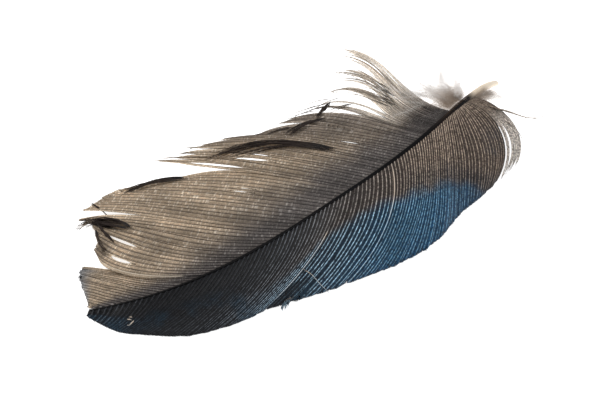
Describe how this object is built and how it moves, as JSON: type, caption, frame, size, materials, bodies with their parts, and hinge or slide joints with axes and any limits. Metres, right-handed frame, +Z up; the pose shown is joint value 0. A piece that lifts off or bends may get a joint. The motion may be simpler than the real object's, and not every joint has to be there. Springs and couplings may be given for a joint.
{
  "type": "magpie feather",
  "caption": "Moulted magpie wing feather lying dorsal side up: curved black shaft, glossy blue-black outer vane, frayed brown inner vane, base down.",
  "frame": {"origin": "centre of the bounding box's bottom, on the surface that the feather lies on", "axes": "+X from the feather's tip to the end of its calamus, +Y towards the wide inner vane, +Z up, the way the dorsal side faces"},
  "size_m": [0.0538, 0.0259, 0.0065],
  "materials": {
    "horn": "satin black keratin, pale and translucent at the calamus",
    "outer_vane": "iridescent blue-black barbs, brown near the base",
    "inner_vane": "dull brown translucent barbs",
    "down": "soft grey down"
  },
  "bodies": {
    "root": {"shaft": "horn", "outer_tip_lock": "outer_vane", "outer_middle_lock": "outer_vane", "outer_base_lock": "outer_vane", "outer_loose_barbs": "outer_vane", "inner_tip_lock": "inner_vane", "inner_ragged_lock": "inner_vane", "inner_main_lock": "inner_vane", "inner_upper_lock": "inner_vane", "inner_loose_lock": "inner_vane", "base_down": "down", "afterfeather": "down"}
  },
  "joints": []
}
